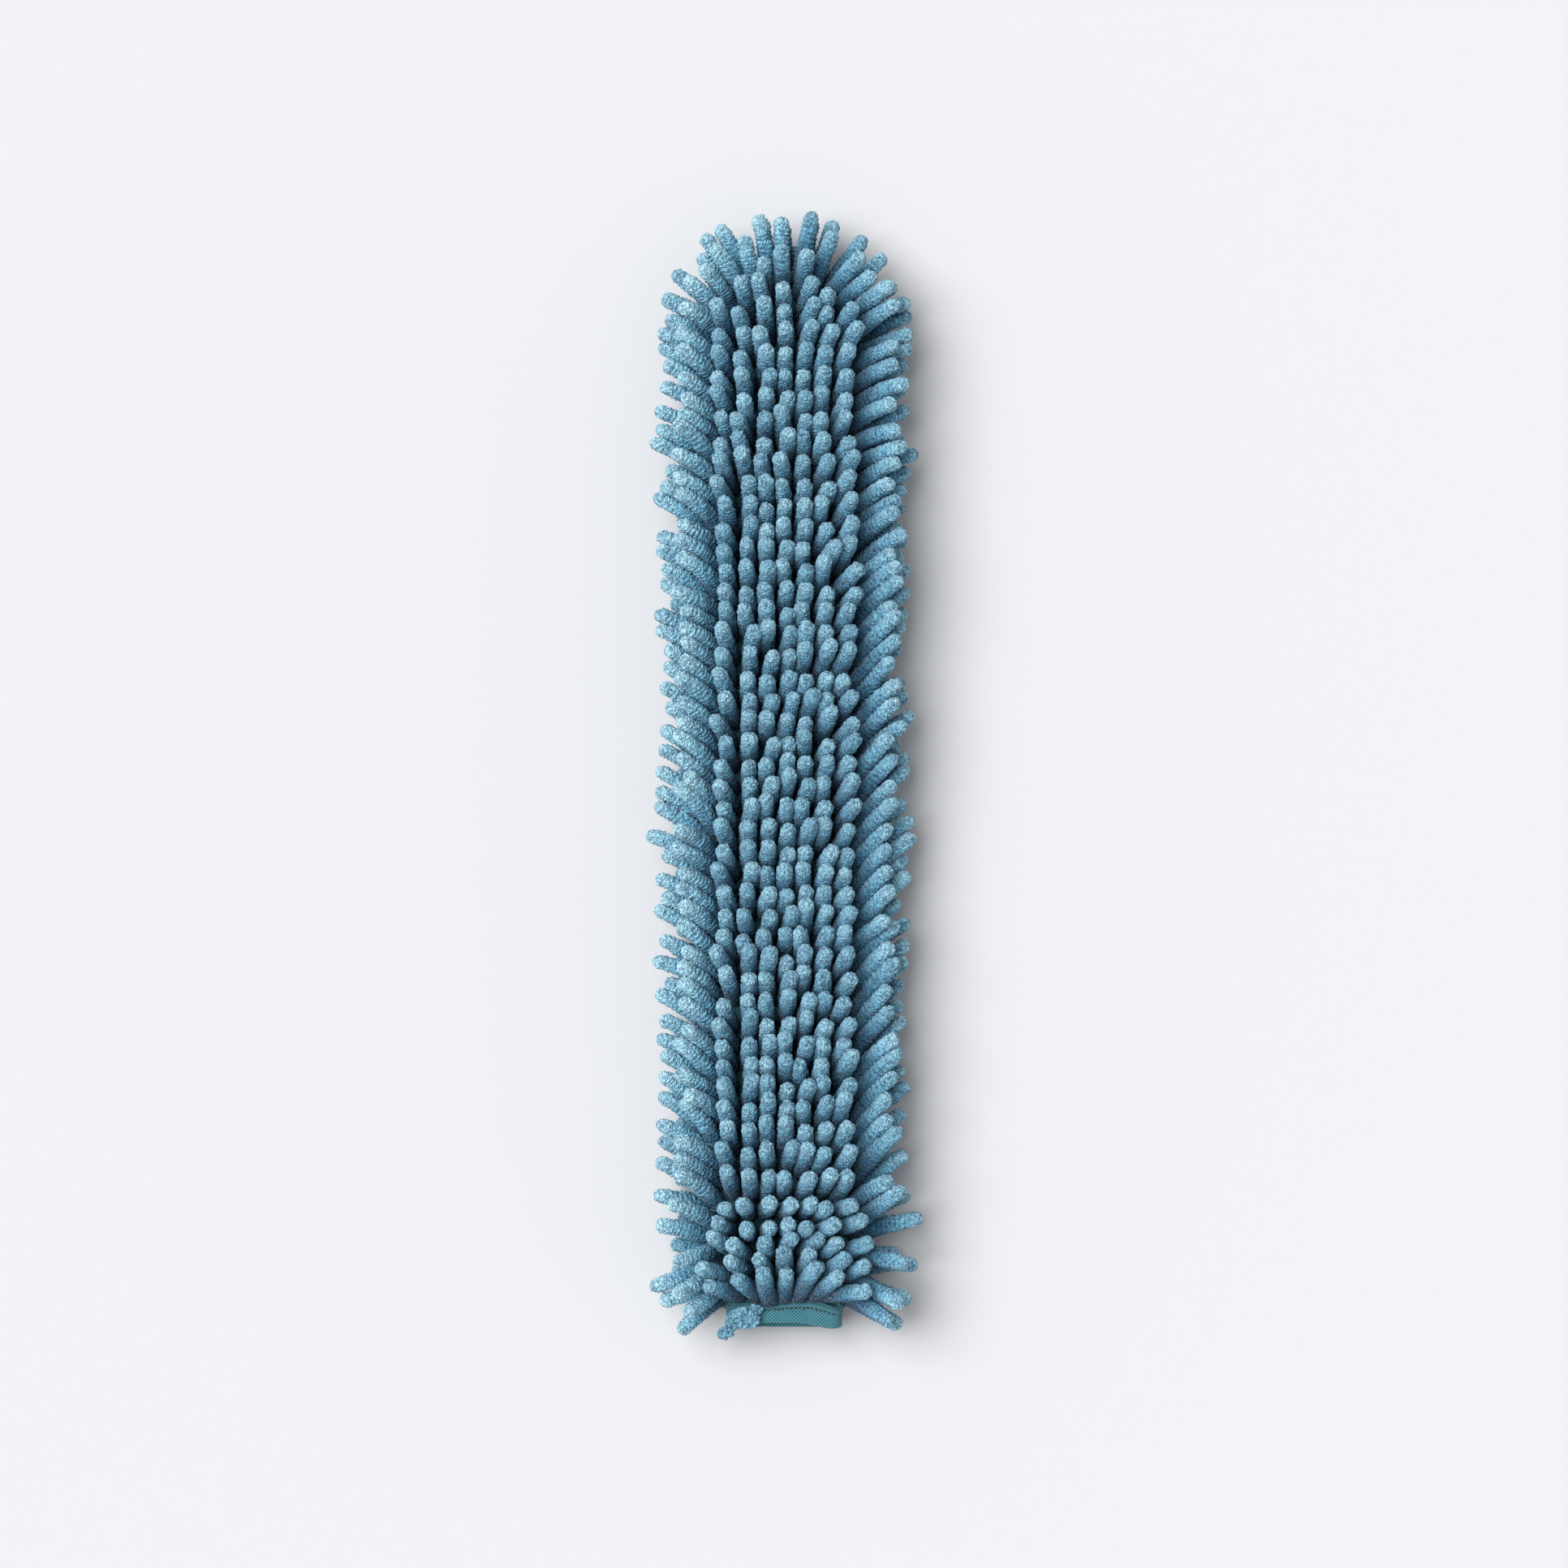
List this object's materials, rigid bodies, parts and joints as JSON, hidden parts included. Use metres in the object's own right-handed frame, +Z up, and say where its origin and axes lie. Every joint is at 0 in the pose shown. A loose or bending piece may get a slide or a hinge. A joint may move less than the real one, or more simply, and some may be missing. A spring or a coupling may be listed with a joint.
{
  "type": "chenille wash mitt sleeve",
  "caption": "Long narrow chenille sleeve that slips over a flat cleaning wand, with shaggy fingers all round, a rounded closed tip and a knitted cuff at the mouth.",
  "frame": {"origin": "bottom centre of the whole sleeve, on the table it lies on", "axes": "+Y along the sleeve from the open mouth to the closed tip, +X to the right seen from above with the tip away from the viewer, +Z up out of the front pile"},
  "size_m": [0.0952, 0.4012, 0.038],
  "materials": {
    "chenille_blue": "fuzzy pile",
    "backing_teal": "woven",
    "cuff_teal": "knitted",
    "thread_teal": "spun thread",
    "thread_dark": "spun thread",
    "thread_pale": "spun thread"
  },
  "bodies": {
    "root": {"front_chenille_yarn_1": "chenille_blue", "front_chenille_yarn_2": "chenille_blue", "front_chenille_yarn_3": "chenille_blue", "front_chenille_yarn_4": "chenille_blue", "front_chenille_yarn_5": "chenille_blue", "front_chenille_yarn_6": "chenille_blue", "front_chenille_yarn_7": "chenille_blue", "back_chenille_yarn_1": "chenille_blue", "back_chenille_yarn_2": "chenille_blue", "back_chenille_yarn_3": "chenille_blue", "back_chenille_yarn_4": "chenille_blue", "back_chenille_yarn_5": "chenille_blue", "back_chenille_yarn_6": "chenille_blue", "back_chenille_yarn_7": "chenille_blue", "left_edge_yarn": "chenille_blue", "right_edge_yarn": "chenille_blue", "front_backing": "backing_teal", "back_backing": "backing_teal", "seam_overlock": "thread_teal", "cuff_band": "cuff_teal", "cuff_stitching": "thread_dark", "frayed_yarn_end": "chenille_blue", "loose_threads": "thread_pale"}
  },
  "joints": []
}
